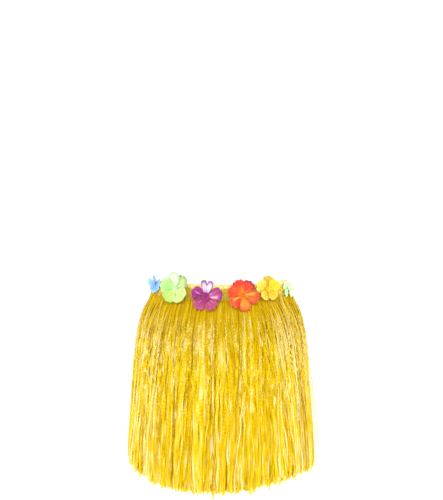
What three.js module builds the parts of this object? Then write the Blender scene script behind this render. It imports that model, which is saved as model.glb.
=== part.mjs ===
// A short hula skirt: an elasticated waistband, a raffia fringe and six fabric flowers.
// Millimetres, +Z up, front towards -Y. The origin is the centre of the waist ring, at mid band height.
import * as THREE from "three";

// Driving dimensions
const waistHalfWidth = 146;
const waistHalfDepth = 102;
const bandHalfHeight = 13;
const bandWall = 3;
const seamGap = 0.3;
const waistDip = 6; // the band rides this much lower in front and behind, and higher at the hips
const aroundSteps = 96;

// Fringe, from the band's lower edge down to the hem. share is the part of the strand's fall.
const fringeSections = [
  { share: 0.0, halfWidth: 146, halfDepth: 102, bunch: 0.0 },
  { share: 0.04, halfWidth: 151, halfDepth: 107, bunch: 0.4 },
  { share: 0.09, halfWidth: 160, halfDepth: 115, bunch: 0.8 },
  { share: 0.16, halfWidth: 168, halfDepth: 124, bunch: 1.3 },
  { share: 0.28, halfWidth: 174, halfDepth: 134, bunch: 1.9 },
  { share: 0.42, halfWidth: 178, halfDepth: 141, bunch: 2.3 },
  { share: 0.6, halfWidth: 182, halfDepth: 147, bunch: 2.7 },
  { share: 0.8, halfWidth: 187, halfDepth: 153, bunch: 3.0 },
  { share: 1.0, halfWidth: 190, halfDepth: 157, bunch: 3.2 },
];
const fringeTopWall = 3;
const fringeHemWall = 7;
const fringeRows = 13;

// How far below the origin the strands end: a middle value and waves round the skirt
const hemMiddle = 368;
const hemWaves = [
  { count: 1, ahead: 2, aside: 6 },
  { count: 2, ahead: 14, aside: -8 },
];
const hemRag = 4;
// Waves of the bunched strands round the skirt: how many, how strong, and where they start
const bunchWaves = [
  { count: 23, strength: 0.55, start: 0.4 },
  { count: 31, strength: 0.3, start: 2.1 },
  { count: 13, strength: 0.35, start: 4.4 },
];
const ragWaves = [
  { count: 29, strength: 0.6, start: 1.3 },
  { count: 41, strength: 0.4, start: 3.2 },
];

// Band profile: up is above mid height, out is beyond the waist size. Stitched rows lie in the troughs.
const bandProfile = [
  { up: 13, out: -0.6 },
  { up: 8, out: 0.6 },
  { up: 2, out: -0.5 },
  { up: -1, out: 0.4 },
  { up: -4, out: -0.5 },
  { up: -7, out: 0.4 },
  { up: -10, out: -0.5 },
  { up: -13, out: 0 },
];

// Flowers. bearing is the ring parameter, 0 in front and 90 at +X; up is the middle's height above the
// band's mid height; cup is the height of the petal tips over the middle; lift stands the lowest petals
// further out, over the flare of the fringe. Petals: angle is clockwise from straight up for a viewer
// who faces the flower, and reach is the length.
const flowers = [
  {
    name: "flower_blue", colour: 0x7fb0f0, bearing: -65, up: 8, cup: 7, lift: 3,
    petals: [
      { angle: 12, reach: 20 }, { angle: 84, reach: 20 }, { angle: 150, reach: 18 },
      { angle: 212, reach: 20 }, { angle: 284, reach: 23 },
    ],
  },
  {
    name: "flower_light_green", colour: 0xc4e690, bearing: -38, up: 5, cup: 9, lift: 6,
    petals: [
      { angle: -8, reach: 33 }, { angle: 52, reach: 33 }, { angle: 138, reach: 32 },
      { angle: 212, reach: 31 }, { angle: 282, reach: 33 },
    ],
  },
  {
    name: "flower_purple", colour: 0xb5358f, bearing: -12, up: -8, cup: 9, lift: 8,
    petals: [
      { angle: 7, reach: 34 }, { angle: 78, reach: 35 }, { angle: 141, reach: 30 },
      { angle: 219, reach: 29 }, { angle: 295, reach: 30 },
    ],
  },
  {
    name: "flower_red_orange", colour: 0xf2563a, bearing: 16.5, up: -6, cup: 9, lift: 8,
    petals: [
      { angle: -24, reach: 34 }, { angle: 29, reach: 33 }, { angle: 96, reach: 32 },
      { angle: 172, reach: 31 }, { angle: 235, reach: 32 }, { angle: 293, reach: 33 },
    ],
  },
  {
    name: "flower_yellow", colour: 0xf3da23, bearing: 38, up: 3, cup: 8, lift: 6,
    petals: [
      { angle: 6, reach: 27 }, { angle: 58, reach: 25 }, { angle: 140, reach: 24 },
      { angle: 212, reach: 24 }, { angle: 288, reach: 28 },
    ],
  },
  {
    name: "flower_pale_green", colour: 0xdcefd2, bearing: 66, up: 0, cup: 7, lift: 3,
    petals: [
      { angle: 4, reach: 21 }, { angle: 72, reach: 22 }, { angle: 146, reach: 20 },
      { angle: 214, reach: 21 }, { angle: 290, reach: 20 },
    ],
  },
];
const petalWall = 1.6;
const petalSteps = 6;
const petalRings = [0.22, 0.5, 0.78, 1];
const petalWaist = 0.58; // how far in the notches between petals reach, as a share of the petal
const petalRoundness = 4;
const cupCurve = 1.25;
const liftCurve = 1.2;
const flowerStandOff = 1.2;

const radians = THREE.MathUtils.degToRad;

function wave(waves, turn) {
  return waves.reduce((sum, w) => sum + w.strength * Math.sin(w.count * turn + w.start), 0);
}

// Height of the band's middle at a bearing: low in front and behind, high at the hips
function bandMiddle(turn) {
  return -waistDip * Math.cos(2 * turn);
}

function ellipsePoint(turn, halfWidth, halfDepth, z) {
  return new THREE.Vector3(halfWidth * Math.sin(turn), -halfDepth * Math.cos(turn), z);
}

function ellipseNormal(turn, halfWidth, halfDepth) {
  return new THREE.Vector3(Math.sin(turn) / halfWidth, -Math.cos(turn) / halfDepth, 0).normalize();
}

function ring(pointAt) {
  return Array.from({ length: aroundSteps }, (_, i) => pointAt((2 * Math.PI * i) / aroundSteps));
}

// A closed wall: rings go down the outside, then up the inside, and the last joins the first.
function ringWall(rings) {
  const positions = rings.flat().flatMap((p) => [p.x, p.y, p.z]);
  const faces = [];
  rings.forEach((_, r) => {
    const upper = r * aroundSteps;
    const lower = ((r + 1) % rings.length) * aroundSteps;
    for (let i = 0; i < aroundSteps; i += 1) {
      const next = (i + 1) % aroundSteps;
      faces.push(upper + i, lower + i, lower + next);
      faces.push(upper + i, lower + next, upper + next);
    }
  });
  return closedGeometry(positions, faces);
}

function closedGeometry(positions, faces) {
  const geometry = new THREE.BufferGeometry();
  geometry.setAttribute("position", new THREE.Float32BufferAttribute(positions, 3));
  geometry.setIndex(faces);
  geometry.computeVertexNormals();
  return geometry;
}

function waistbandGeometry() {
  const outside = bandProfile.map(({ up, out }) =>
    ring((turn) => ellipsePoint(turn, waistHalfWidth + out, waistHalfDepth + out, bandMiddle(turn) + up)),
  );
  const inside = [-bandHalfHeight, bandHalfHeight].map((up) =>
    ring((turn) =>
      ellipsePoint(turn, waistHalfWidth - bandWall, waistHalfDepth - bandWall, bandMiddle(turn) + up),
    ),
  );
  return ringWall([...outside, ...inside]);
}

// The fall of the hem at a turn round the skirt, 0 in front
function hemAt(turn) {
  return hemWaves.reduce(
    (fall, w) => fall + w.ahead * Math.cos(w.count * turn) + w.aside * Math.sin(w.count * turn),
    hemMiddle,
  );
}

// Half sizes of the fringe at a share of its fall, from a smooth curve through the sections
const sectionCurve = (key) =>
  new THREE.SplineCurve(fringeSections.map((s) => new THREE.Vector2(s.share, s[key])));
const halfWidthCurve = sectionCurve("halfWidth");
const halfDepthCurve = sectionCurve("halfDepth");
const bunchCurve = sectionCurve("bunch");

function fringeRing(row, isInside) {
  const t = row / fringeRows;
  const share = halfWidthCurve.getPoint(t).x;
  const wall = isInside ? THREE.MathUtils.lerp(fringeTopWall, fringeHemWall, share) : 0;
  const halfWidth = halfWidthCurve.getPoint(t).y - wall;
  const halfDepth = halfDepthCurve.getPoint(t).y - wall;
  const bunch = bunchCurve.getPoint(t).y;
  return ring((turn) => {
    const top = bandMiddle(turn) - bandHalfHeight - seamGap;
    const hem = -hemAt(turn) + hemRag * wave(ragWaves, turn);
    const z = THREE.MathUtils.lerp(top, hem, share);
    const point = ellipsePoint(turn, halfWidth, halfDepth, z);
    return point.addScaledVector(ellipseNormal(turn, halfWidth, halfDepth), bunch * wave(bunchWaves, turn));
  });
}

function fringeGeometry() {
  const rows = Array.from({ length: fringeRows + 1 }, (_, i) => i);
  const outside = rows.map((row) => fringeRing(row, false));
  const inside = rows.filter((row) => row % 2 === 1 || row === 0).map((row) => fringeRing(row, true));
  return ringWall([...outside, ...inside.reverse()]);
}

// The petal outline: bearing and reach of points round the flower, petal by petal
function petalOutline(petals) {
  return petals.flatMap((petal, i) => {
    const last = petals[(i + petals.length - 1) % petals.length];
    const next = petals[(i + 1) % petals.length];
    const back = THREE.MathUtils.euclideanModulo(petal.angle - last.angle, 360) / 2;
    const ahead = THREE.MathUtils.euclideanModulo(next.angle - petal.angle, 360) / 2;
    return Array.from({ length: petalSteps }, (_, s) => {
      const side = (2 * s) / petalSteps - 1;
      const angle = petal.angle + side * (side < 0 ? back : ahead);
      const notch = side === -1 ? Math.min(petal.reach, last.reach) : petal.reach;
      return { angle, reach: notch * (1 - (1 - petalWaist) * Math.abs(side) ** petalRoundness) };
    });
  });
}

// A cupped flower of one thin wall. Its own Z points out of the band, Y is up and X is to the right.
function flowerGeometry({ cup, lift, petals }) {
  const outline = petalOutline(petals);
  const longest = Math.max(...petals.map((petal) => petal.reach));
  const count = outline.length;
  const positions = [];
  const addRing = (share, wall) =>
    outline.forEach(({ angle, reach }) => {
      const radius = share * reach;
      const x = radius * Math.sin(radians(angle));
      const y = radius * Math.cos(radians(angle));
      const height = cup * (radius / longest) ** cupCurve + lift * (Math.max(0, -y) / longest) ** liftCurve;
      positions.push(x, y, height + wall);
    });
  petalRings.forEach((share) => addRing(share, petalWall));
  [...petalRings].reverse().forEach((share) => addRing(share, 0));
  const rings = 2 * petalRings.length;
  const faces = [];
  for (let r = 0; r < rings - 1; r += 1) {
    for (let i = 0; i < count; i += 1) {
      const next = (i + 1) % count;
      const inner = r * count;
      const outer = (r + 1) * count;
      faces.push(inner + i, inner + next, outer + next);
      faces.push(inner + i, outer + next, outer + i);
    }
  }
  const faceMiddle = rings * count;
  const backMiddle = faceMiddle + 1;
  positions.push(0, 0, petalWall, 0, 0, 0);
  for (let i = 0; i < count; i += 1) {
    const next = (i + 1) % count;
    faces.push(faceMiddle, next, i);
    faces.push(backMiddle, (rings - 1) * count + i, (rings - 1) * count + next);
  }
  return closedGeometry(positions, faces);
}

// Places a flower on the band, with its Z along the band's normal
function placeFlower(mesh, { bearing, up }) {
  const turn = radians(bearing);
  const normal = ellipseNormal(turn, waistHalfWidth, waistHalfDepth);
  const upward = new THREE.Vector3(0, 0, 1);
  const right = new THREE.Vector3().crossVectors(upward, normal);
  mesh.quaternion.setFromRotationMatrix(new THREE.Matrix4().makeBasis(right, upward, normal));
  mesh.position
    .copy(ellipsePoint(turn, waistHalfWidth, waistHalfDepth, bandMiddle(turn) + up))
    .addScaledVector(normal, flowerStandOff);
}

const raffia = new THREE.MeshStandardMaterial({ color: 0xf2cb3a, roughness: 0.4, metalness: 0 });
const bandCloth = new THREE.MeshStandardMaterial({ color: 0xe3c46a, roughness: 0.75, metalness: 0 });

const skirt = new THREE.Group();

const waistband = new THREE.Mesh(waistbandGeometry(), bandCloth);
waistband.name = "waistband";
skirt.add(waistband);

const fringe = new THREE.Mesh(fringeGeometry(), raffia);
fringe.name = "fringe";
skirt.add(fringe);

flowers.forEach((flower) => {
  const petalCloth = new THREE.MeshStandardMaterial({ color: flower.colour, roughness: 0.6, metalness: 0 });
  const mesh = new THREE.Mesh(flowerGeometry(flower), petalCloth);
  mesh.name = flower.name;
  placeFlower(mesh, flower);
  skirt.add(mesh);
});

export default skirt;
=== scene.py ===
import math

import bpy
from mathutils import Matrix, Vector


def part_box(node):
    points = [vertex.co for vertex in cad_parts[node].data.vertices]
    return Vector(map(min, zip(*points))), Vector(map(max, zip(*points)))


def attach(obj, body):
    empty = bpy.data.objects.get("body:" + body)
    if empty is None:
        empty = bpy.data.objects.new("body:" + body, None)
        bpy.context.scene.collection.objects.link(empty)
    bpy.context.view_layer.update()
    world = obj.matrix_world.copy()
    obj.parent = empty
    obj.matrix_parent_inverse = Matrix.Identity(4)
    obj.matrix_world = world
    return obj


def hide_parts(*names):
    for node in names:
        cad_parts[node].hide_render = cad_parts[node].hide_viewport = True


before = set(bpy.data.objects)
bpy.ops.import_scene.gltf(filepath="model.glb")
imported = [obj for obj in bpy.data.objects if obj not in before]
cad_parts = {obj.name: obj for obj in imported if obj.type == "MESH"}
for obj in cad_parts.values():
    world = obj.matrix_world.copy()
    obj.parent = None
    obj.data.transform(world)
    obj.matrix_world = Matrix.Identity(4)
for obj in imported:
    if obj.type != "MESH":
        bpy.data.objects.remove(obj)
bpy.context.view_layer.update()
mm = 0.001
tau = 2 * math.pi


# node trees written as Python expressions

class Wire:
    # one output socket; each operator adds its Math node to the same tree
    def __init__(self, tree, socket):
        self.tree = tree
        self.socket = socket

    def out(self, name):
        return Wire(self.tree, self.socket.node.outputs[name])

    def math(self, operation, *others):
        values = {place + 1: other for place, other in enumerate(others)}
        return self.tree.add("ShaderNodeMath", {"operation": operation}, {0: self, **values})

    def __add__(self, other):
        return self.math("ADD", other)

    def __sub__(self, other):
        return self.math("SUBTRACT", other)

    def __mul__(self, other):
        return self.math("MULTIPLY", other)

    def __truediv__(self, other):
        return self.math("DIVIDE", other)

    def __pow__(self, other):
        return self.math("POWER", other)

    def __rsub__(self, other):
        return self.tree.add("ShaderNodeMath", {"operation": "SUBTRACT"}, {0: other, 1: self})

    def __neg__(self):
        return self.math("MULTIPLY", -1.0)

    __radd__ = __add__
    __rmul__ = __mul__

    def sin(self):
        return self.math("SINE")

    def cos(self):
        return self.math("COSINE")

    def size(self):
        return self.math("ABSOLUTE")

    def floor(self):
        return self.math("FLOOR")

    def least(self, other):
        return self.math("MINIMUM", other)

    def most(self, other):
        return self.math("MAXIMUM", other)

    def eased(self, start, end):
        # 0 before start, 1 after end, smooth in between; start may be above end
        return self.tree.add(
            "ShaderNodeMapRange", {"interpolation_type": "SMOOTHSTEP"}, {"Value": self, 1: start, 2: end}
        )

    def parts(self):
        split = self.tree.add("ShaderNodeSeparateXYZ", {}, {0: self})
        return split, split.out("Y"), split.out("Z")


class Tree:
    def __init__(self, group):
        self.group = group

    def add(self, kind, settings=None, inputs=None):
        node = self.group.nodes.new(kind)
        for key, value in (settings or {}).items():
            if key == "stops":
                fillRamp(node.color_ramp, value)
            elif key == "curve":
                fillCurve(node.mapping, value)
            else:
                setattr(node, key, value)
        for key, value in (inputs or {}).items():
            if isinstance(value, Wire):
                self.group.links.new(value.socket, node.inputs[key])
            else:
                node.inputs[key].default_value = value
        return Wire(self, node.outputs[0]) if node.outputs else node

    def vector(self, x=0.0, y=0.0, z=0.0):
        return self.add("ShaderNodeCombineXYZ", {}, {0: x, 1: y, 2: z})

    def noise(self, place, scale=1.0, detail=2.0, roughness=0.5):
        inputs = {"Vector": place, "Scale": scale, "Detail": detail, "Roughness": roughness}
        return self.add("ShaderNodeTexNoise", {}, inputs)

    def mixColour(self, factor, first, second, blend="MIX"):
        settings = {"data_type": "RGBA", "blend_type": blend}
        mix = self.add("ShaderNodeMix", settings, {0: factor, 6: first, 7: second})
        return Wire(self, mix.socket.node.outputs[2])

    def ramp(self, factor, stops):
        return self.add("ShaderNodeValToRGB", {"stops": stops}, {0: factor})


def fillRamp(ramp, stops):
    while len(ramp.elements) < len(stops):
        ramp.elements.new(1.0)
    for element, (place, colour) in zip(ramp.elements, stops):
        element.position = place
        element.color = (*colour, 1.0)


def fillCurve(mapping, points):
    curve = mapping.curves[0]
    while len(curve.points) < len(points):
        curve.points.new(0.5, 0.5)
    for point, (x, y) in zip(curve.points, points):
        point.location = (x, y)
    mapping.update()


class GeometryTree(Tree):
    def __init__(self, name, inputs):
        super().__init__(bpy.data.node_groups.new(name, "GeometryNodeTree"))
        face = self.group.interface
        face.new_socket("Geometry", in_out="OUTPUT", socket_type="NodeSocketGeometry")
        for label, kind in inputs.items():
            face.new_socket(label, in_out="INPUT", socket_type=f"NodeSocket{kind}")
        self.given = self.group.nodes.new("NodeGroupInput")

    def value(self, label):
        return Wire(self, self.given.outputs[label])

    def random(self, who, low, high, seed):
        inputs = {2: low, 3: high, 7: who, 8: seed}
        node = self.add("FunctionNodeRandomValue", {"data_type": "FLOAT"}, inputs)
        return Wire(self, node.socket.node.outputs[1])

    def whiteNoise(self, who, seed):
        # an odd factor, so that a clump and a seed that add up alike don't share a value
        return self.add("ShaderNodeTexWhiteNoise", {"noise_dimensions": "1D"}, {"W": who * 1.371 + seed})

    def stored(self, geometry, name, value, kind="FLOAT", domain="POINT"):
        return self.add(
            "GeometryNodeStoreNamedAttribute",
            {"data_type": kind, "domain": domain},
            {"Geometry": geometry, "Name": name, "Value": value},
        )

    def named(self, name):
        return self.add("GeometryNodeInputNamedAttribute", {"data_type": "FLOAT"}, {"Name": name})

    def finish(self, geometry):
        smooth = self.add("GeometryNodeSetShadeSmooth", {}, {"Geometry": geometry, "Shade Smooth": True})
        inputs = {"Geometry": smooth, "Material": self.value("Material")}
        painted = self.add("GeometryNodeSetMaterial", {}, inputs)
        ending = self.group.nodes.new("NodeGroupOutput")
        self.group.links.new(painted.socket, ending.inputs[0])


def grown(name, group, values):
    # runs a geometry tree on an empty mesh and keeps the plain mesh that it makes
    piece = bpy.data.objects.new(name, bpy.data.meshes.new(name))
    bpy.context.scene.collection.objects.link(piece)
    modifier = piece.modifiers.new("Grow", "NODES")
    modifier.node_group = group
    for item in group.interface.items_tree:
        if item.in_out == "INPUT":
            modifier[item.identifier] = values[item.name]
    piece.update_tag()
    evaluated = piece.evaluated_get(bpy.context.evaluated_depsgraph_get())
    mesh = bpy.data.meshes.new_from_object(evaluated)
    piece.modifiers.clear()
    piece.data = mesh
    mesh.name = name
    print(f"  {name}: {sum(len(f.vertices) - 2 for f in mesh.polygons)} triangles")
    return piece


def newMaterial(name):
    material = bpy.data.materials.new(name)
    material.use_nodes = True
    material.node_tree.nodes.clear()
    return material, Tree(material.node_tree)


def surface(tree, shader):
    ending = tree.group.nodes.new("ShaderNodeOutputMaterial")
    tree.group.links.new(shader.socket, ending.inputs["Surface"])


# the form that everything follows; its main sizes come from the frame

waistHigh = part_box("waistband")[1]
fringeLow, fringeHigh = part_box("fringe")
form = {
    "bandOut": 0.6 * mm,  # how far the band's ribs stand over the waist size
    "bandHalfHeight": 13 * mm,
    "waistDip": 6 * mm,  # lower in front and behind, higher at the hips
    "bunchRoom": 2.0 * mm,  # what the widest bunch adds at the hem
    "hemFall": 368 * mm,
    "hemWaves": [(1, 2 * mm, 6 * mm), (2, 14 * mm, -8 * mm)],  # waves round, size ahead, size beside
    "bunchWaves": [(23, 0.55, 0.4), (31, 0.3, 2.1), (13, 0.35, 4.4)],  # waves round, strength, start
    # share of the height from band to hem, and share of the growth from waist to hem
    "widthFlare": [(0, 0), (0.04, 0.11), (0.09, 0.31), (0.16, 0.48), (0.28, 0.636), (0.42, 0.727),
                   (0.6, 0.818), (0.8, 0.932), (1, 1)],
    "depthFlare": [(0, 0), (0.04, 0.09), (0.09, 0.24), (0.16, 0.4), (0.28, 0.58), (0.42, 0.71),
                   (0.6, 0.82), (0.8, 0.93), (1, 1)],
}
waistHalfWidth = waistHigh.x - form["bandOut"]
waistHalfDepth = waistHigh.y - form["bandOut"]
hemHalfWidth = (fringeHigh.x - fringeLow.x) / 2 - form["bunchRoom"]
hemHalfDepth = (fringeHigh.y - fringeLow.y) / 2 - form["bunchRoom"]


def bandMiddle(turn):
    return -form["waistDip"] * math.cos(2 * turn)


def waistPoint(turn, out=0.0, up=0.0):
    return Vector(
        (
            (waistHalfWidth + out) * math.sin(turn),
            -(waistHalfDepth + out) * math.cos(turn),
            bandMiddle(turn) + up,
        )
    )


def waistNormal(turn):
    return Vector((math.sin(turn) / waistHalfWidth, -math.cos(turn) / waistHalfDepth, 0)).normalized()


# raffia

raffia = {
    "deep": (0.68, 0.46, 0.0),
    "middle": (0.8, 0.58, 0.0),
    "pale": (0.9, 0.72, 0.05),
    # the pale and cream end is partly the ribbons' own paler tone and partly painted satin sheen
    "creamSheen": (0.97, 0.87, 0.38),
    "root": (0.5, 0.33, 0.0),  # in the shade just under the band
    "roughness": 0.34,
    "roughnessSpread": 0.3,
    "bump": 0.0011,
    "streakScale": (2600, 14),  # across and along the ribbon, in turns of the noise for each metre
    "cloudScale": (90, 20),
    "crimpScale": (60, 44),
    "crimpShift": 37,  # moves each strand's crimps by its tone, so that they don't line up
    "gleam": (1.0, 0.84, 0.36, 1.0),
    "glow": 0.44,  # the share of light that passes through the film
    "glowColour": (0.86, 0.66, 0.02, 1.0),
}


def raffiaMaterial(name, sewn=False):
    material, t = newMaterial(name)
    tone = t.add("ShaderNodeAttribute", {"attribute_name": "tone"}).out("Fac")
    along = t.add("ShaderNodeAttribute", {"attribute_name": "along"}).out("Fac")
    u, v, _ = t.add("ShaderNodeUVMap", {"uv_map": "ribbon"}).parts()
    streakAcross, streakAlong = raffia["streakScale"]
    streak = t.noise(t.vector(u * streakAcross, v * streakAlong, 0.0), detail=3.0)
    cloudAcross, cloudAlong = raffia["cloudScale"]
    cloud = t.noise(t.vector(u * cloudAcross, v * cloudAlong, 3.0), detail=1.0)
    crimpAcross, crimpAlong = raffia["crimpScale"]
    crimpPlace = t.vector(u * crimpAcross, v * crimpAlong + tone * raffia["crimpShift"], 0.0)
    crimp = t.add(
        "ShaderNodeTexWave",
        {"wave_type": "BANDS", "bands_direction": "Y"},
        {"Vector": crimpPlace, "Scale": 1.0, "Distortion": 5.0, "Detail": 2.0},
    ).out("Fac")
    # the crimps are strongest a little under the band, where painted glints of paler colour also mark their
    # tops
    crimped = along.eased(0.03, 0.2) * (1 - along.eased(0.35, 0.85) * 0.75)
    glints = crimp * tone.eased(0.45, 0.8) * along.eased(0.05, 0.16) * along.eased(0.45, 0.2)
    # the long cloud patches towards cream are partly painted sheen streaks along the twisting ribbons
    shade = tone * 0.8 + (streak - 0.5) * 0.4 + (cloud - 0.5) * 2.0 + glints * 0.6
    # painted shade, darker towards the band, and painted light, paler towards the hem
    shade = shade - along.eased(0.34, 0.04) * 0.32 + along.eased(0.8, 1.0) * 0.12 + 0.02
    colour = t.ramp(
        shade,
        [(0.08, raffia["deep"]), (0.4, raffia["middle"]), (0.7, raffia["pale"]), (0.95, raffia["creamSheen"])],
    )
    if sewn:
        # the gathered heads: dark with painted shade where a row of stitches pulls them in, paler towards
        # their cut tops
        dent = t.add("ShaderNodeAttribute", {"attribute_name": "dent"}).out("Fac")
        paledTops = t.mixColour(along * 0.7, colour, (*band["frillColour"], 1))
        colour = t.mixColour(dent * dent * 0.9, paledTops, (*band["dentShadeColour"], 1))
    else:
        # painted shade just under the band, patchy with the cloud noise
        colour = t.mixColour(along.eased(0.42, 0.0) * (1.15 - cloud), colour, (*raffia["root"], 1))
    height = streak * 0.35 + crimp * crimped * 1.6
    bump = t.add("ShaderNodeBump", {}, {"Strength": 0.7, "Distance": raffia["bump"], "Height": height})
    body = t.add(
        "ShaderNodeBsdfPrincipled",
        {},
        {
            "Base Color": colour,
            "Roughness": raffia["roughness"] + (cloud - 0.5) * raffia["roughnessSpread"],
            "Normal": bump,
            "IOR": 1.5,
            "Metallic": 0.2,
            "Specular IOR Level": 0.2,
            "Specular Tint": raffia["gleam"],
        },
    )
    through = t.add("ShaderNodeBsdfTranslucent", {}, {"Color": raffia["glowColour"], "Normal": bump})
    surface(t, t.add("ShaderNodeMixShader", {}, {0: raffia["glow"], 1: body, 2: through}))
    return material


def onRing(turn, halfWidth, halfDepth, sideways, outwards):
    # x and y of a place near a point of the ring, measured along the ring and away from it
    normalX, normalY = turn.sin() / waistHalfWidth, -turn.cos() / waistHalfDepth
    length = (normalX * normalX + normalY * normalY) ** 0.5
    normalX, normalY = normalX / length, normalY / length
    x = halfWidth * turn.sin() - normalY * sideways + normalX * outwards
    y = -halfDepth * turn.cos() + normalX * sideways + normalY * outwards
    return x, y


def numberedCopies(t, count, shape):
    # realized copies of one shape, each carrying its own number
    points = t.add("GeometryNodePoints", {}, {"Count": count})
    numbered = t.stored(points, "strand", t.add("GeometryNodeInputIndex"))
    placed = t.add("GeometryNodeInstanceOnPoints", {}, {"Points": numbered, "Instance": shape})
    return t.add("GeometryNodeRealizeInstances", {}, {"Geometry": placed})


def ribbonsOn(t, count, across, steps):
    # flat ribbons, from -1 to 1 across and from 0.5 down to -0.5 along
    size = {"Size X": 2.0, "Size Y": 1.0, "Vertices X": across, "Vertices Y": steps + 1}
    return numberedCopies(t, count, t.add("GeometryNodeMeshGrid", {}, size))


strandForm = {
    "startSpread": 1.6,  # how far a strand may start from its even place, in strands
    "pointedCut": 9 * mm,  # a clump's outermost strands are shorter by about half of this
    "clumpCut": 7 * mm,  # what a whole clump may be shorter by
    "rareLength": 9 * mm,  # a few strands are longer by up to this
    "overlong": 6 * mm,  # every strand is longer by this
    "bunchPuff": 3 * mm,  # how far bunches, clumps and single strands stand out or in
    "clumpPuff": 4 * mm,
    "wander": 2.4 * mm,
    "endSlant": 4 * mm,  # half the slant of the cut end
    "zigzags": (22, 30),  # crimps along a strand, fewest and most
    "paintedSideLight": 0.3,  # painted light: what the strands at the hips are paler by
    "numberShift": 0.0171,  # moves each strand to its own part of the textures
}


def strandTree():
    t = GeometryTree(
        "raffia strands",
        {
            "Strand count": "Int",
            "Across": "Int",
            "Steps": "Int",
            "First turn": "Float",
            "Last turn": "Float",
            "Depth": "Float",
            "Depth spread": "Float",
            "Ribbon width": "Float",
            "Clumps round": "Float",
            "Clump pull": "Float",
            "Sway": "Float",
            "Lean": "Float",
            "Sweep": "Float",
            "Stray": "Float",
            "Twist": "Float",
            "Crimp": "Float",
            "Trim": "Float",
            "Paleness": "Float",
            "Seed": "Int",
            "Material": "Material",
        },
    )
    count, seed = t.value("Strand count"), t.value("Seed")
    strands = ribbonsOn(t, count, t.value("Across"), t.value("Steps"))
    strand = t.named("strand")
    across, gridY, _ = t.add("GeometryNodeInputPosition").parts()
    along = 0.5 - gridY

    def own(low, high, number):
        return t.random(strand, low, high, seed * 31 + number)

    def drift(who, speed, number):
        # a smooth wander along the strand, from about -1 to 1
        place = t.vector(who * 7.31, along * speed, seed * 3.7 + number)
        return (t.noise(place) - 0.5) * 3

    # where the strand starts on the ring, and the clump it hangs in
    firstTurn, lastTurn = t.value("First turn"), t.value("Last turn")
    spread = strandForm["startSpread"]
    startTurn = firstTurn + (strand + own(-spread, spread, 1)) / count * (lastTurn - firstTurn)
    clumps = t.value("Clumps round")
    clump = (startTurn * clumps / tau + own(-0.55, 0.55, 14)).floor()
    clumpLean = t.whiteNoise(clump, seed + 0.13) - 0.5
    clumpHold = t.whiteNoise(clump, seed + 5.27)
    clumpOut = t.whiteNoise(clump, seed + 9.71) - 0.5
    clumpTurn = (clump + 0.5 + clumpLean * 0.6) * tau / clumps
    aside = clumpTurn - startTurn
    pull = t.value("Clump pull") * (clumpHold + 0.2) * own(0.2, 1.0, 15) * along.eased(-0.05, 0.6)
    swaying = drift(strand, 3.0, 1) * 0.7 + drift(clump, 1.6, 2) * 0.5
    sway = t.value("Sway") * swaying * along.eased(0.0, 0.5)
    lean = (t.value("Lean") * own(-1, 1, 16) + t.value("Sweep")) * along**0.6
    turn = startTurn + aside * pull + (sway + lean) / hemHalfWidth

    # how far the strand falls, and the share of the skirt's height at which each of its points hangs
    top = -(turn * 2).cos() * form["waistDip"] - form["bandHalfHeight"]
    fall = form["hemFall"]
    for number, ahead, beside in form["hemWaves"]:
        fall = fall + (turn * number).cos() * ahead + (turn * number).sin() * beside
    pointed = aside.size() * clumps / tau * strandForm["pointedCut"]
    clumpCut = t.whiteNoise(clump, seed + 2.9) * strandForm["clumpCut"]
    trim = t.value("Trim") * own(0, 1, 3) ** 2.2 + pointed + clumpCut
    trim = trim - own(0.0, 1.0, 18) ** 6 * strandForm["rareLength"] - strandForm["overlong"]
    level = along * (fall + top - trim) / (fall + top)

    widthShare = t.add("ShaderNodeFloatCurve", {"curve": form["widthFlare"]}, {"Value": level})
    depthShare = t.add("ShaderNodeFloatCurve", {"curve": form["depthFlare"]}, {"Value": level})
    waves = 0.0
    for number, strength, start in form["bunchWaves"]:
        waves = waves + (turn * number + start).sin() * strength
    inward = t.value("Depth") + t.value("Depth spread") * own(0, 1, 2)
    bunchPuff = waves * strandForm["bunchPuff"] * level.eased(0.0, 0.7)
    clumpPuff = clumpOut * strandForm["clumpPuff"] * level.eased(0.02, 0.4)
    wander = drift(strand, 4.5, 3) * strandForm["wander"] * level.eased(0.02, 0.3)
    stray = t.value("Stray") * own(0.25, 1.0, 17) * along.eased(0.12, 0.8)
    out = bunchPuff + clumpPuff + wander + stray - inward * level.eased(-0.02, 0.12)
    halfWidth = widthShare * (hemHalfWidth - waistHalfWidth) + waistHalfWidth + out
    halfDepth = depthShare * (hemHalfDepth - waistHalfDepth) + waistHalfDepth + out

    slant = across * own(-strandForm["endSlant"], strandForm["endSlant"], 4) * along.eased(0.93, 1.0)
    rise = top + (trim + slant - fall - top) * along

    # the ribbon itself: narrow where it is gathered, folded down its middle, twisting as it falls
    width = t.value("Ribbon width") * own(0.35, 1.0, 5) * (along.eased(0.0, 0.22) * 0.62 + 0.38)
    width = width * (drift(strand, 5.0, 4) * 0.2 + 1) * (1 - along.eased(0.965, 1.0) * own(0.1, 0.85, 6))
    twist = t.value("Twist") * (own(-0.7, 0.7, 7) + drift(strand, 3.4, 5) * along.eased(0.03, 0.3))
    fold = own(0.1, 0.6, 8) * own(-0.35, 1.0, 9)
    fewest, most = strandForm["zigzags"]
    zigzag = (along * own(fewest, most, 10) * tau + own(0, tau, 11)).sin()
    crimp = t.value("Crimp") * zigzag * own(0.0, 1.0, 12)
    crimp = crimp * along.eased(0.05, 0.2) * (1 - along.eased(0.35, 0.75) * 0.8)
    thick = fold * (1 - across.size()) * width + crimp
    sideways = across * width * twist.cos() - thick * twist.sin() + crimp * 0.5
    outwards = across * width * twist.sin() + thick * twist.cos()
    x, y = onRing(turn, halfWidth, halfDepth, sideways, outwards)

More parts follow.
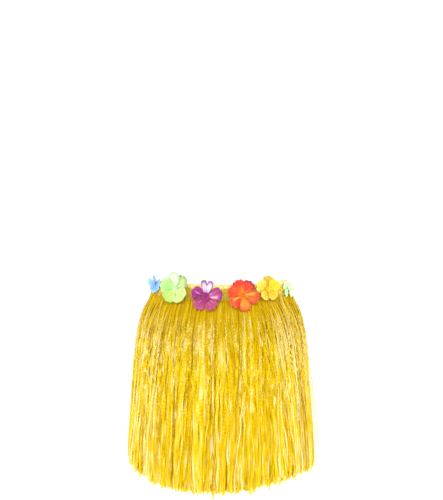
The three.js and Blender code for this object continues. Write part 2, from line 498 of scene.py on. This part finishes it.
    shared = t.stored(strands, "along", along)
    # painted light: the strands round the hips are paler
    sideLightMask = (startTurn.sin() * startTurn.sin()) ** 4
    tone = own(0, 1, 13) * 0.75 + t.whiteNoise(clump, seed + 7.7) * 0.25
    tone = tone + t.value("Paleness") + sideLightMask * strandForm["paintedSideLight"]
    toned = t.stored(shared, "tone", tone)
    flat = t.vector(across * width + strand * strandForm["numberShift"], along * form["hemFall"], 0.0)
    mapped = t.stored(toned, "ribbon", flat, "FLOAT2", "CORNER")
    moved = t.add("GeometryNodeSetPosition", {}, {"Geometry": mapped, "Position": t.vector(x, y, rise)})
    t.finish(moved)
    return t.group


fringeStyle = {
    "Across": 3,
    "Steps": 36,
    "Depth": -0.5 * mm,
    "Depth spread": 3 * mm,
    "Ribbon width": 3.8 * mm,  # half the width of the widest ribbon
    "Clumps round": 84.0,
    "Clump pull": 0.5,
    "Sway": 11.0 * mm,
    "Lean": 14.0 * mm,
    "Sweep": 0.0,
    "Stray": 0.0,
    "Twist": 1.1,
    "Crimp": 2.6 * mm,
    "Trim": 26 * mm,
    "Paleness": 0.1,
}
middleLayer = {
    "Steps": 30,
    "Depth": 2 * mm,
    "Depth spread": 4 * mm,
    "Ribbon width": 3.2 * mm,
    # lower, as painted shade on this inner layer
    "Paleness": -0.08,
}
underLayer = {
    "Across": 2,
    "Steps": 40,
    "Depth": 5 * mm,
    "Depth spread": 8 * mm,
    "Ribbon width": 2.8 * mm,
    "Clump pull": 0.7,
    "Twist": 0.8,
    # lower still, as painted shade deep under the outer strands
    "Paleness": -0.2,
}
looseLayer = {
    "Steps": 84,
    "Depth": -2 * mm,
    "Ribbon width": 1.7 * mm,
    "Clump pull": 0.1,
    "Sway": 14 * mm,
    "Lean": 34 * mm,
    "Twist": 1.8,
    "Crimp": 3.2 * mm,
    "Trim": 200 * mm,
    "Paleness": 0.25,
}
sweptLayer = {
    "Steps": 84,
    "Depth": -3 * mm,
    "Ribbon width": 1.7 * mm,
    "Clump pull": 0.1,
    "Lean": 18 * mm,
    "Sweep": 46 * mm,
    "Trim": 60 * mm,
    "Paleness": 0.5,
}
strayLayer = {
    "Steps": 84,
    "Ribbon width": 0.5 * mm,
    "Sway": 16 * mm,
    "Clump pull": 0.1,
    "Stray": 17 * mm,
    "Trim": 70 * mm,
    "Paleness": 0.2,
}
sweptLeft = {**sweptLayer, "Sweep": -30 * mm}
strayLeft = {**strayLayer, "Stray": 10 * mm}
front, back = (-95, 95), (85, 275)  # degrees round the ring from the middle of the front
firstSeed = 11
fringeLayers = [
    {"name": "raffia_front", "count": 400, "span": front, "style": {}},
    {"name": "raffia_back", "count": 400, "span": back, "style": {}},
    {"name": "raffia_front_middle", "count": 640, "span": front, "style": middleLayer},
    {"name": "raffia_back_middle", "count": 640, "span": back, "style": middleLayer},
    {"name": "raffia_front_under", "count": 1350, "span": front, "style": underLayer},
    {"name": "raffia_back_under", "count": 1350, "span": back, "style": underLayer},
    {"name": "raffia_front_loose", "count": 60, "span": front, "style": looseLayer},
    {"name": "raffia_back_loose", "count": 60, "span": back, "style": looseLayer},
    {"name": "raffia_swept_right", "count": 30, "span": (24, 62), "style": sweptLayer},
    {"name": "raffia_swept_left", "count": 12, "span": (-62, -30), "style": sweptLeft},
    {"name": "raffia_stray_right", "count": 22, "span": (55, 125), "style": strayLayer},
    {"name": "raffia_stray_left", "count": 12, "span": (235, 305), "style": strayLeft},
]


def makeFringe():
    group = strandTree()
    material = raffiaMaterial("yellow raffia")
    pieces = []
    for seed, layer in enumerate(fringeLayers, start=firstSeed):
        values = {
            **fringeStyle,
            **layer["style"],
            "Strand count": layer["count"],
            "First turn": math.radians(layer["span"][0]),
            "Last turn": math.radians(layer["span"][1]),
            "Seed": seed,
            "Material": material,
        }
        piece = grown(layer["name"], group, values)
        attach(piece, "root")
        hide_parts("fringe")
        pieces.append(piece)
    print("fringe done")
    return pieces


# waistband: a stretched tape, the raffia's gathered heads on both its faces, rows of chain stitch

band = {
    "rows": (2 * mm, -4 * mm, -10 * mm, -13.4 * mm),
    "grip": 2.4 * mm,  # how far from a row its stitches pull the heads in
    "tapeWall": 1.4 * mm,
    "tapeInset": 1.1 * mm,  # how far its outer face lies inside the waist size
    "tapeCut": (0.66, 0.024),
    "tapeSteps": 192,
    "tapeProfile": [(0.0, 11), (0.2, 5), (-0.4, 2), (0.1, -1), (-0.4, -4), (0.1, -7), (-0.4, -10),
                    (0.0, -13)],  # out and up, in millimetres
    "outerStandOff": -0.7 * mm,
    "innerGap": 0.3 * mm,  # between the tape and the heads behind it
    "stitchLift": 0.45 * mm,
    "frill": (5 * mm, 13 * mm),  # where the heads fray into the free heading
    "frillColour": (0.93, 0.87, 0.6),
    # painted shade in the stitch dents
    "dentShadeColour": (0.2, 0.1, 0.0),
    "tapeColour": (0.78, 0.6, 0.2),
    "tapeShade": (0.6, 0.42, 0.1),
    "tapeRibs": 5200,  # radians for each metre
    "threadColour": (0.95, 0.8, 0.36),
    "threadShade": (0.66, 0.44, 0.08),
    "threadPly": (900, 900, 2600),
    "clothBump": 0.0003,
    "headSeed": 5,
    "heads": {
        "Heads": 520,
        "Steps": 10,
        "Ribbon width": 1.7 * mm,
        "Foot": -15.5 * mm,
        "Top": 13.5 * mm,
        "Puff": 0.9 * mm,
    },
    "stitches": {
        "Stitches": 198,
        "Half length": 2.6 * mm,
        "Half height": 1.0 * mm,
        "Thread": 0.4 * mm,
    },
}


def headTree():
    t = GeometryTree(
        "gathered heads",
        {
            "Heads": "Int",
            "Steps": "Int",
            "Ribbon width": "Float",
            "Foot": "Float",
            "Top": "Float",
            "Puff": "Float",
            "Stand off": "Float",
            "Face": "Float",
            "Seed": "Int",
            "Material": "Material",
        },
    )
    count, seed = t.value("Heads"), t.value("Seed")
    ribbons = ribbonsOn(t, count, 3, t.value("Steps"))
    head = t.named("strand")
    across, gridY, _ = t.add("GeometryNodeInputPosition").parts()
    rise = gridY + 0.5

    def own(low, high, number):
        return t.random(head, low, high, seed * 17 + number)

    turn = (head + own(-0.6, 0.6, 1)) / count * tau
    foot = t.value("Foot")
    up = foot + (t.value("Top") - foot + own(-2.2, 1.2, 2) * mm) * rise
    dent = sum(((up - row).size().eased(band["grip"], 0.0) for row in band["rows"]), 0.0).least(1.0)
    frill = up.eased(*band["frill"])
    puffed = t.value("Puff") * own(0.5, 1.2, 3) * (1 - dent)
    flared = frill * own(-0.6, 1.3, 4) * mm
    width = t.value("Ribbon width") * own(0.6, 1.1, 5) * (1 - dent * 0.3)
    fold = own(-0.3, 0.5, 6) * (1 - across.size()) * width
    skew = own(-1.0, 1.0, 7) * mm * (rise - 0.5) * 2
    face = t.value("Face")
    tilt = across * own(-0.35, 0.35, 8) * mm
    outwards = t.value("Stand off") + face * (puffed + flared + fold + tilt)
    x, y = onRing(turn, waistHalfWidth, waistHalfDepth, (across * width + skew) * face, outwards)
    z = up - (turn * 2).cos() * form["waistDip"]

    shared = t.stored(ribbons, "along", frill)
    # the dent mask carries painted shade into the sewn raffia
    dented = t.stored(shared, "dent", dent * (1 - frill))
    toned = t.stored(dented, "tone", own(0.25, 1.25, 9))
    flat = t.vector(across * width + head * strandForm["numberShift"], up, 0.0)
    mapped = t.stored(toned, "ribbon", flat, "FLOAT2", "CORNER")
    moved = t.add("GeometryNodeSetPosition", {}, {"Geometry": mapped, "Position": t.vector(x, y, z)})
    t.finish(moved)
    return t.group


def stitchTree():
    t = GeometryTree(
        "chain stitches",
        {
            "Stitches": "Int",
            "Half length": "Float",
            "Half height": "Float",
            "Thread": "Float",
            "Row": "Float",
            "Stand off": "Float",
            "Face": "Float",
            "Material": "Material",
        },
    )
    # one link: a flat loop, wide and raised at one end, with its thread as a three-sided tube
    circle = t.add("GeometryNodeCurvePrimitiveCircle", {"mode": "RADIUS"}, {"Resolution": 8, "Radius": 1.0})
    loopX, loopY, _ = t.add("GeometryNodeInputPosition").parts()
    widened = loopY * t.value("Half height") * (loopX * 0.35 + 0.75)
    loop = t.vector(loopX * t.value("Half length"), widened, loopX * 0.35 * mm)
    link = t.add("GeometryNodeSetPosition", {}, {"Geometry": circle, "Position": loop})
    size = {"Resolution": 3, "Radius": t.value("Thread")}
    thread = t.add("GeometryNodeCurvePrimitiveCircle", {"mode": "RADIUS"}, size)
    tube = t.add("GeometryNodeCurveToMesh", {}, {"Curve": link, "Profile Curve": thread})
    count = t.value("Stitches")
    links = numberedCopies(t, count, tube)

    linkX, linkY, linkOut = t.add("GeometryNodeInputPosition").parts()
    turn = t.named("strand") / count * tau
    outwards = t.value("Stand off") + linkOut * t.value("Face")
    x, y = onRing(turn, waistHalfWidth, waistHalfDepth, linkX * t.value("Face"), outwards)
    z = linkY + t.value("Row") - (turn * 2).cos() * form["waistDip"]
    moved = t.add("GeometryNodeSetPosition", {}, {"Geometry": links, "Position": t.vector(x, y, z)})
    t.finish(moved)
    return t.group


def tapeMaterial():
    material, t = newMaterial("woven tape")
    place = t.add("ShaderNodeTexCoord").out("Object")
    rib = (place.parts()[2] * band["tapeRibs"]).sin() * 0.5 + 0.5
    patch = t.noise(place, 160.0)
    colour = t.mixColour(patch * 0.4 + rib * 0.2, (*band["tapeColour"], 1), (*band["tapeShade"], 1))
    bump = t.add("ShaderNodeBump", {}, {"Strength": 0.5, "Distance": band["clothBump"], "Height": rib})
    body = {"Base Color": colour, "Roughness": 0.8, "Normal": bump}
    surface(t, t.add("ShaderNodeBsdfPrincipled", {}, body))
    return material


def threadMaterial():
    material, t = newMaterial("stitching thread")
    place = t.add("ShaderNodeTexCoord").out("Object")
    ply = t.noise(t.vector(*[part * scale for part, scale in zip(place.parts(), band["threadPly"])]))
    colour = t.mixColour(ply, (*band["threadShade"], 1), (*band["threadColour"], 1))
    bump = t.add("ShaderNodeBump", {}, {"Strength": 0.5, "Distance": band["clothBump"], "Height": ply})
    body = {"Base Color": colour, "Roughness": 0.55, "Normal": bump}
    surface(t, t.add("ShaderNodeBsdfPrincipled", {}, body))
    return material


def makeTape(material):
    # a closed ring wall, down its outside and up its inside
    outside = [(out * mm - band["tapeInset"], up * mm) for out, up in band["tapeProfile"]]
    inside = [(out - band["tapeWall"], up) for out, up in reversed(outside)]
    steps = band["tapeSteps"]
    points = []
    for out, up in outside + inside:
        points += [waistPoint(tau * i / steps, out, up) for i in range(steps)]
    rows = len(outside) + len(inside)
    faces = []
    for row in range(rows):
        here, below = row * steps, (row + 1) % rows * steps
        for i in range(steps):
            after = (i + 1) % steps
            faces.append((here + i, below + i, below + after, here + after))
    mesh = bpy.data.meshes.new("waist_tape")
    mesh.from_pydata(points, [], faces)
    mesh.polygons.foreach_set("use_smooth", [True] * len(faces))
    mesh.materials.append(material)
    tape = bpy.data.objects.new("waist_tape", mesh)
    bpy.context.scene.collection.objects.link(tape)
    return tape


def makeBand():
    heads, stitches = headTree(), stitchTree()
    headMaterial = raffiaMaterial("gathered raffia", sewn=True)
    thread = threadMaterial()
    tape = makeTape(tapeMaterial())
    innerStandOff = -band["tapeInset"] - band["tapeWall"] - band["innerGap"]
    pieces = []
    for side, face, standOff in (("outer", 1.0, band["outerStandOff"]), ("inner", -1.0, innerStandOff)):
        values = {
            **band["heads"],
            "Stand off": standOff,
            "Face": face,
            "Seed": band["headSeed"],
            "Material": headMaterial,
        }
        pieces.append(grown(f"heads_{side}", heads, values))
        for number, row in enumerate(band["rows"], start=1):
            values = {
                **band["stitches"],
                "Row": row,
                "Stand off": standOff + face * band["stitchLift"],
                "Face": face,
                "Material": thread,
            }
            pieces.append(grown(f"stitches_{side}_{number}", stitches, values))
    for piece in [tape, *pieces]:
        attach(piece, "root")
        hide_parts("waistband")
    print("waistband done")


# fabric flowers: petals laid round a middle that is tacked to the band

petalGrid = {
    "across": 20,
    "along": 9,
    "wall": 0.35 * mm,
    "start": 0.03,  # where a petal begins, as a share of its reach
    "standOff": 2.4 * mm,
    "clothShare": 0.8,  # how much of the square that it is stamped from is petal
}
petalCloth = {
    "roughness": 0.42,
    "roughnessSpread": 0.3,
    "veins": (16, 1.3, 5.0),  # across, along and from petal to petal
    "blotches": (1.5, 2.5, 3.0),
    "weave": 7800,  # radians for each metre
    "bump": 0.0005,
}
petalShape = {
    "spread": 42,  # half the angle that the petal takes
    "narrow": 0.25,  # how much less of it the petal takes at its foot
    "waist": 0.5,  # how far out the petal's side ends, as a share of its reach
    "round": 2.6,
    "rise": 8,  # height of the tip over the middle; heights and reaches are in millimetres
    "curl": 2.5,  # how far the very edge turns back down
    "dome": 2.5,  # how far the petal's sides lie below its middle line
    "tilt": 1.8,  # one side up and the other down, so that neighbours overlap
    "crease": 1.3,
    "creaseWidth": 0.12,
    "flutes": 4,
    "flute": 1.2,
    "fluteShift": 2.1,  # what the flutes move on from one petal to the next
    "scallops": 4,
    "scallop": 0.05,
    "heart": 0.42,  # how far out the colour of the foot reaches
    "heartStart": 0.25,  # where that colour starts to turn, as a share of heart
    "tipStart": 0.72,
    "streakPaint": 0.85,
}
pleatedThroat = {"angle": 0, "spread": 180, "narrow": 0, "waist": 1, "curl": 0, "dome": 0, "tilt": 0,
                 "crease": 0, "flutes": 5, "flute": 1.3, "scallop": 0, "heart": 0.6}
flowers = {
    "flower_blue": {
        "bearing": -65,
        "up": 8,
        "slot": "blue_petals",
        "cut": 0.044,
        "glow": 0.35,
        "light": (0.3, 0.56, 0.95),
        "veins": (0.66, 0.84, 1.0),
        "colours": {"base": (0.14, 0.32, 0.82), "body": (0.24, 0.48, 0.9), "tip": (0.46, 0.72, 0.98)},
        "petals": [
            {"angle": 12, "reach": 20, "rise": 7, "tip": (0.6, 0.82, 1.0)},
            {"angle": 84, "reach": 20, "rise": 2},
            {"angle": 150, "reach": 18, "rise": 3},
            {"angle": 212, "reach": 20, "rise": 6, "tip": (0.6, 0.82, 1.0)},
            {"angle": 284, "reach": 23, "rise": 8, "body": (0.3, 0.6, 0.95), "tip": (0.66, 0.86, 1.0)},
        ],
        "throat": {"reach": 4, "rise": 2.5},
    },
    "flower_light_green": {
        "bearing": -38,
        "up": 5,
        "slot": "light_green_petals",
        "cut": 0.068,
        "glow": 0.4,
        "light": (0.62, 0.84, 0.36),
        "veins": (0.82, 0.94, 0.7),
        # the pale base of its petals and its throat paint a highlight at the middle
        "colours": {"base": (0.76, 0.92, 0.64), "body": (0.6, 0.82, 0.34), "tip": (0.66, 0.86, 0.42)},
        "petals": [
            {"angle": -8, "reach": 34, "spread": 48, "round": 1.0, "waist": 0.42, "rise": 6,
             "scallop": 0.0, "body": (0.8, 0.88, 0.72), "tip": (0.52, 0.68, 0.42)},
            {"angle": 52, "reach": 33, "spread": 40, "round": 3.4, "waist": 0.6, "rise": 4, "scallops": 2,
             "scallop": 0.12, "body": (0.56, 0.66, 0.3), "tip": (0.34, 0.44, 0.2)},
            {"angle": 138, "reach": 32, "spread": 54, "rise": 11, "dome": 4, "scallop": 0.03,
             "body": (0.62, 0.72, 0.28), "tip": (0.68, 0.74, 0.34)},
            {"angle": 212, "reach": 31, "spread": 44, "rise": 12, "body": (0.6, 0.74, 0.16),
             "tip": (0.44, 0.74, 0.2)},
            {"angle": 282, "reach": 33, "spread": 48, "rise": 9, "body": (0.46, 0.82, 0.26),
             "tip": (0.58, 0.84, 0.38)},
        ],
        "throat": {"reach": 5, "rise": 3, "tip": (0.8, 0.95, 0.72)},
    },
    "flower_purple": {
        "bearing": -12,
        "up": -8,
        "slot": "purple_petals",
        "cut": 0.068,
        "glow": 0.14,
        "light": (0.45, 0.02, 0.2),
        "veins": (0.78, 0.46, 0.62),
        "colours": {"base": (0.3, 0.0, 0.15), "body": (0.36, 0.01, 0.16), "tip": (0.3, 0.01, 0.17)},
        "petals": [
            {"angle": -7, "reach": 34, "spread": 17, "waist": 0.4, "rise": 5, "dome": 1.5, "tilt": 0.6,
             "base": (0.5, 0.2, 0.66), "body": (0.74, 0.6, 0.8), "tip": (0.16, 0.01, 0.18)},
            {"angle": 21, "reach": 34, "spread": 17, "waist": 0.4, "rise": 6, "dome": 1.5, "tilt": 0.6,
             "base": (0.5, 0.3, 0.76), "body": (0.76, 0.66, 0.84), "tip": (0.3, 0.08, 0.34)},
            {"angle": 78, "reach": 35, "spread": 36, "rise": 8, "scallops": 3, "heart": 0.55,
             "base": (0.7, 0.4, 0.55), "body": (0.38, 0.02, 0.18), "tip": (0.3, 0.02, 0.16),
             "streak": (0.7, 0.4, (0.84, 0.62, 0.7))},
            {"angle": 141, "reach": 30, "spread": 40, "rise": 13, "scallops": 3,
             "body": (0.38, 0.02, 0.14), "tip": (0.46, 0.05, 0.17)},
            {"angle": 219, "reach": 29, "spread": 40, "rise": 13, "scallops": 3,
             "body": (0.36, 0.02, 0.15), "tip": (0.44, 0.05, 0.19)},
            {"angle": 295, "reach": 30, "spread": 42, "rise": 9, "scallops": 3,
             "base": (0.4, 0.0, 0.24), "body": (0.28, 0.0, 0.17), "tip": (0.34, 0.01, 0.2),
             "streak": (0.15, 0.16, (0.8, 0.46, 0.76))},
        ],
        "throat": {"reach": 9, "rise": 5, "base": (0.2, 0.0, 0.14), "body": (0.32, 0.0, 0.14),
                   "tip": (0.34, 0.0, 0.15)},
    },
    "flower_red_orange": {
        "bearing": 16.5,
        "up": -6,
        "slot": "red_orange_petals",
        "cut": 0.068,
        "glow": 0.14,
        "light": (0.9, 0.1, 0.02),
        "veins": (0.92, 0.42, 0.0),
        "colours": {"base": (0.84, 0.28, 0.0), "body": (0.78, 0.04, 0.004), "tip": (0.6, 0.01, 0.01)},
        "petals": [
            {"angle": -24, "reach": 34, "spread": 36, "rise": 6, "scallops": 5, "scallop": 0.08,
             "heart": 0.7},
            {"angle": 29, "reach": 33, "spread": 36, "rise": 6, "body": (0.78, 0.03, 0.01), "scallop": 0.08,
             "tip": (0.3, 0.0, 0.012)},
            {"angle": 96, "reach": 32, "spread": 40, "rise": 10, "body": (0.84, 0.09, 0.01), "scallop": 0.07,
             "tip": (0.82, 0.05, 0.025), "streak": (-0.7, 0.5, (0.82, 0.5, 0.01))},
            {"angle": 172, "reach": 31, "spread": 36, "rise": 13, "body": (0.88, 0.24, 0.004),
             "tip": (0.84, 0.07, 0.015), "heart": 0.6},
            {"angle": 235, "reach": 32, "spread": 40, "rise": 12, "tip": (0.82, 0.07, 0.015), "heart": 0.4,
             "scallop": 0.08, "streak": (0.5, 0.35, (0.86, 0.5, 0.01))},
            {"angle": 293, "reach": 33, "spread": 34, "rise": 8, "body": (0.8, 0.08, 0.01), "scallops": 5,
             "tip": (0.7, 0.03, 0.012), "scallop": 0.08, "heart": 0.5},
        ],
        "throat": {"reach": 5, "rise": 2, "base": (0.8, 0.2, 0.0), "tip": (0.84, 0.26, 0.0)},
    },
    "flower_yellow": {
        "bearing": 38,
        "up": 3,
        "slot": "yellow_petals",
        "cut": 0.058,
        "glow": 0.22,
        "light": (0.9, 0.58, 0.0),
        "veins": (0.9, 0.66, 0.04),
        "colours": {"base": (0.74, 0.44, 0.0), "body": (0.82, 0.6, 0.0), "tip": (0.84, 0.64, 0.02)},
        "petals": [
            # the top petal's darker olive is painted shade
            {"angle": 6, "reach": 27, "spread": 38, "rise": 3, "body": (0.58, 0.44, 0.01),
             "tip": (0.56, 0.43, 0.03)},
            {"angle": 58, "reach": 25, "spread": 50, "rise": 11, "dome": 5, "body": (0.88, 0.58, 0.0),
             "tip": (0.9, 0.62, 0.0)},
            {"angle": 140, "reach": 24, "spread": 46, "rise": 11, "dome": 3, "body": (0.8, 0.5, 0.01),
             "tip": (0.84, 0.58, 0.06)},
            {"angle": 212, "reach": 24, "spread": 46, "rise": 9, "body": (0.78, 0.5, 0.01),
             "tip": (0.84, 0.62, 0.12)},
            {"angle": 288, "reach": 28, "spread": 48, "rise": 6, "body": (0.72, 0.56, 0.03),
             "tip": (0.76, 0.66, 0.12)},
        ],
        "throat": {"reach": 5, "rise": 3},
    },
    "flower_pale_green": {
        "bearing": 66,
        "up": 0,
        "slot": "pale_green_petals",
        "cut": 0.044,
        "glow": 0.5,
        "light": (0.86, 0.97, 0.78),
        "veins": (0.95, 0.99, 0.92),
        "colours": {"base": (0.74, 0.93, 0.6), "body": (0.8, 0.95, 0.7), "tip": (0.9, 0.97, 0.84)},
        "petals": [
            {"angle": 4, "reach": 21, "rise": 7, "body": (0.7, 0.93, 0.66)},
            {"angle": 72, "reach": 22, "rise": 9},
            {"angle": 146, "reach": 20, "rise": 7},
            {"angle": 214, "reach": 21, "rise": 3, "body": (0.6, 0.92, 0.48), "tip": (0.72, 0.95, 0.6)},
            {"angle": 290, "reach": 20, "rise": 2, "body": (0.66, 0.93, 0.54), "tip": (0.76, 0.95, 0.64)},
        ],
        "throat": {"reach": 4, "rise": 2.5},
    },
}


def eased(value, start, end):
    share = min(max((value - start) / (end - start), 0), 1)
    return share * share * (3 - 2 * share)


def blended(first, second, share):
    return tuple(a + (b - a) * share for a, b in zip(first, second))


def petalTint(petal, share, side):
    turning = eased(share, petal["heartStart"] * petal["heart"], petal["heart"])
    colour = blended(petal["base"], petal["body"], turning)
    colour = blended(colour, petal["tip"], eased(share + 0.08 * abs(side), petal["tipStart"], 1.0))
    if "streak" in petal:
        # a stroke of another colour that bends towards the petal's middle line
        place, width, tint = petal["streak"]
        bend = place * (1 - 0.5 * share)
        near = eased(abs(side - bend), width, 0.0) * eased(share, 0.1, 0.3) * eased(share, 0.85, 0.6)
        colour = blended(colour, tint, near * petal["streakPaint"])
    return (*colour, 1.0)


def petalPlace(petal, number, share, side):
    # right, up and out from the flower's middle, in its own upright plane
    reach = petal["reach"] * mm
    blunt = max(1 - abs(side) ** petal["round"], 0) ** 0.5
    edge = petal["waist"] + (1 - petal["waist"]) * blunt
    edge *= 1 - petal["scallop"] * (1 - abs(math.cos(side * math.pi / 2 * petal["scallops"])))
    radius = share * reach * edge
    angle = math.radians(petal["angle"] + side * petal["spread"] * (1 - petal["narrow"] * (1 - share)))
    out = petal["rise"] * share**1.3 - petal["curl"] * share**6 - petal["dome"] * side**2 * share**1.4
    out += petal["tilt"] * side * share
    ripple = math.sin(side * petal["flutes"] * math.pi + number * petal["fluteShift"])
    out += petal["flute"] * (ripple + 0.5 * math.sin(side * 2 * petal["flutes"] * math.pi)) * share**2.5
    groove = math.exp(-((side / petal["creaseWidth"]) ** 2))
    out -= petal["crease"] * groove * math.sin(math.pi * min(share * 1.1, 1))
    return radius * math.sin(angle), radius * math.cos(angle), out * mm


def petalMaterial(name, flower):
    material, t = newMaterial(name)
    tint = t.add("ShaderNodeAttribute", {"attribute_name": "tint"})
    place = t.add("ShaderNodeAttribute", {"attribute_name": "petalPlace"}).out("Vector")
    side, share, petal = place.parts()
    across, along, apart = petalCloth["veins"]
    veins = t.noise(t.vector(side * across, share * along, petal * apart), detail=3.0, roughness=0.6)
    across, along, apart = petalCloth["blotches"]
    blotch = t.noise(t.vector(side * across, share * along, petal * apart + 9.0), detail=2.0)
    veined = t.mixColour((veins - 0.42).most(0.0) * 2.4, tint, (0.0, 0.0, 0.0, 1), "SOFT_LIGHT")
    pale = veins.eased(0.5, 0.3) * share.eased(0.05, 0.3) * share.eased(1.0, 0.7) * blotch * 0.9
    colour = t.mixColour(pale, veined, (*flower["veins"], 1))
    x, y, z = t.add("ShaderNodeTexCoord").out("Object").parts()
    weave = (z * petalCloth["weave"]).sin() * ((x - y) * petalCloth["weave"]).sin()
    height = weave * 0.25 + veins * 1.2
    bump = t.add("ShaderNodeBump", {}, {"Strength": 0.5, "Distance": petalCloth["bump"], "Height": height})
    body = t.add(
        "ShaderNodeBsdfPrincipled",
        {},
        {
            "Base Color": colour,
            "Roughness": petalCloth["roughness"] + (veins - 0.5) * petalCloth["roughnessSpread"],
            "Normal": bump,
            "Specular IOR Level": 0.4,
        },
    )
    through = t.add("ShaderNodeBsdfTranslucent", {}, {"Color": (*flower["light"], 1), "Normal": bump})
    surface(t, t.add("ShaderNodeMixShader", {}, {0: flower["glow"], 1: body, 2: through}))
    return material


def makeFlower(name, flower):
    bearing = math.radians(flower["bearing"])
    normal = waistNormal(bearing)
    right, upward = Vector((-normal.y, normal.x, 0)), Vector((0, 0, 1))
    middle = waistPoint(bearing, petalGrid["standOff"], flower["up"] * mm)
    petals = [{**petalShape, **flower["colours"], **petal} for petal in flower["petals"]]
    petals.append({**petalShape, **flower["colours"], **pleatedThroat, **flower["throat"]})
    across, along = petalGrid["across"], petalGrid["along"]
    points, tints, places, faces = [], [], [], []
    for number, petal in enumerate(petals):
        first = len(points)
        for row in range(along + 1):
            share = petalGrid["start"] + (1 - petalGrid["start"]) * row / along
            for column in range(across + 1):
                side = 2 * column / across - 1
                beside, above, out = petalPlace(petal, number, share, side)
                points.append(middle + right * beside + upward * above + normal * out)
                tints += petalTint(petal, share, side)
                places += (side, share, number)
        for row in range(along):
            for column in range(across):
                here = first + row * (across + 1) + column
                faces.append((here, here + across + 1, here + across + 2, here + 1))
    mesh = bpy.data.meshes.new(name)
    mesh.from_pydata(points, [], faces)
    mesh.polygons.foreach_set("use_smooth", [True] * len(faces))
    mesh.attributes.new("tint", "FLOAT_COLOR", "POINT").data.foreach_set("color", tints)
    mesh.attributes.new("petalPlace", "FLOAT_VECTOR", "POINT").data.foreach_set("vector", places)
    mesh.materials.append(petalMaterial(name.replace("_", " "), flower))
    piece = bpy.data.objects.new(name + "_petals", mesh)
    bpy.context.scene.collection.objects.link(piece)
    wall = piece.modifiers.new("Wall", "SOLIDIFY")
    wall.thickness = petalGrid["wall"]
    wall.offset = 0
    smooth = piece.modifiers.new("Smooth", "SUBSURF")
    smooth.levels = smooth.render_levels = 1
    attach(piece, "root")
    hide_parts(name)
    area = flower["cut"] ** 2 * petalGrid["clothShare"]


def makeFlowers():
    for name, flower in flowers.items():
        makeFlower(name, flower)
    print("flowers done")


# camera, light and floor

studio = {
    "distance": 1.87,
    "eyeHeight": 0.030,
    "aimHeight": 0.0814,
    "frameHeight": 1.040,  # what the frame takes in at the skirt's middle
    "sensor": 36,
    "floorDepth": 0.9,
    "floorReach": 30,
    "floorColour": (0.93, 0.93, 0.93),
    "worldStrength": 1.1,
    "lampAim": (0, 0, -0.15),
    "lamps": [  # name, place, size in metres, watts
        ("key", (-0.9, -2.2, 1.1), 0.9, 27),
        ("fill", (1.4, -1.8, 0.3), 1.2, 10),
        ("glint", (0.5, -2.0, 1.3), 0.2, 14),
        ("back", (0.4, 2.2, 1.4), 1.4, 22),
        ("left", (-2.2, -0.3, 0.3), 1.2, 24),
        ("right", (2.2, -0.3, 0.3), 1.2, 24),
    ],
}


def turnedTo(item, place):
    item.rotation_euler = (Vector(place) - item.location).to_track_quat("-Z", "Y").to_euler()


def makeStudio():
    cameraData = bpy.data.cameras.new("camera")
    cameraData.sensor_width = studio["sensor"]
    cameraData.lens = cameraData.sensor_width / studio["frameHeight"] * studio["distance"]
    camera = bpy.data.objects.new("camera", cameraData)
    bpy.context.scene.collection.objects.link(camera)
    camera.location = (0, -studio["distance"], studio["eyeHeight"])
    turnedTo(camera, (0, 0, studio["aimHeight"]))
    bpy.context.scene.camera = camera

    world = bpy.data.worlds.new("white studio")
    world.use_nodes = True
    sky = world.node_tree.nodes["Background"].inputs
    sky["Color"].default_value = (1, 1, 1, 1)
    sky["Strength"].default_value = studio["worldStrength"]
    bpy.context.scene.world = world

    floorMesh = bpy.data.meshes.new("floor")
    reach = studio["floorReach"]
    corners = [(-reach, -reach), (reach, -reach), (reach, reach), (-reach, reach)]
    floorMesh.from_pydata([(x, y, -studio["floorDepth"]) for x, y in corners], [], [(0, 1, 2, 3)])
    floor = bpy.data.objects.new("floor", floorMesh)
    bpy.context.scene.collection.objects.link(floor)
    material, t = newMaterial("pale floor")
    surface(t, t.add("ShaderNodeBsdfDiffuse", {}, {"Color": (*studio["floorColour"], 1)}))
    floorMesh.materials.append(material)

    for name, place, size, power in studio["lamps"]:
        light = bpy.data.lights.new(name, "AREA")
        light.shape = "SQUARE"
        light.size = size
        light.energy = power
        lamp = bpy.data.objects.new(name, light)
        bpy.context.scene.collection.objects.link(lamp)
        lamp.location = place
        turnedTo(lamp, studio["lampAim"])
    bpy.context.scene.view_settings.view_transform = "Standard"
    print("studio done")


makeStudio()
fringePieces = makeFringe()
makeBand()
makeFlowers()
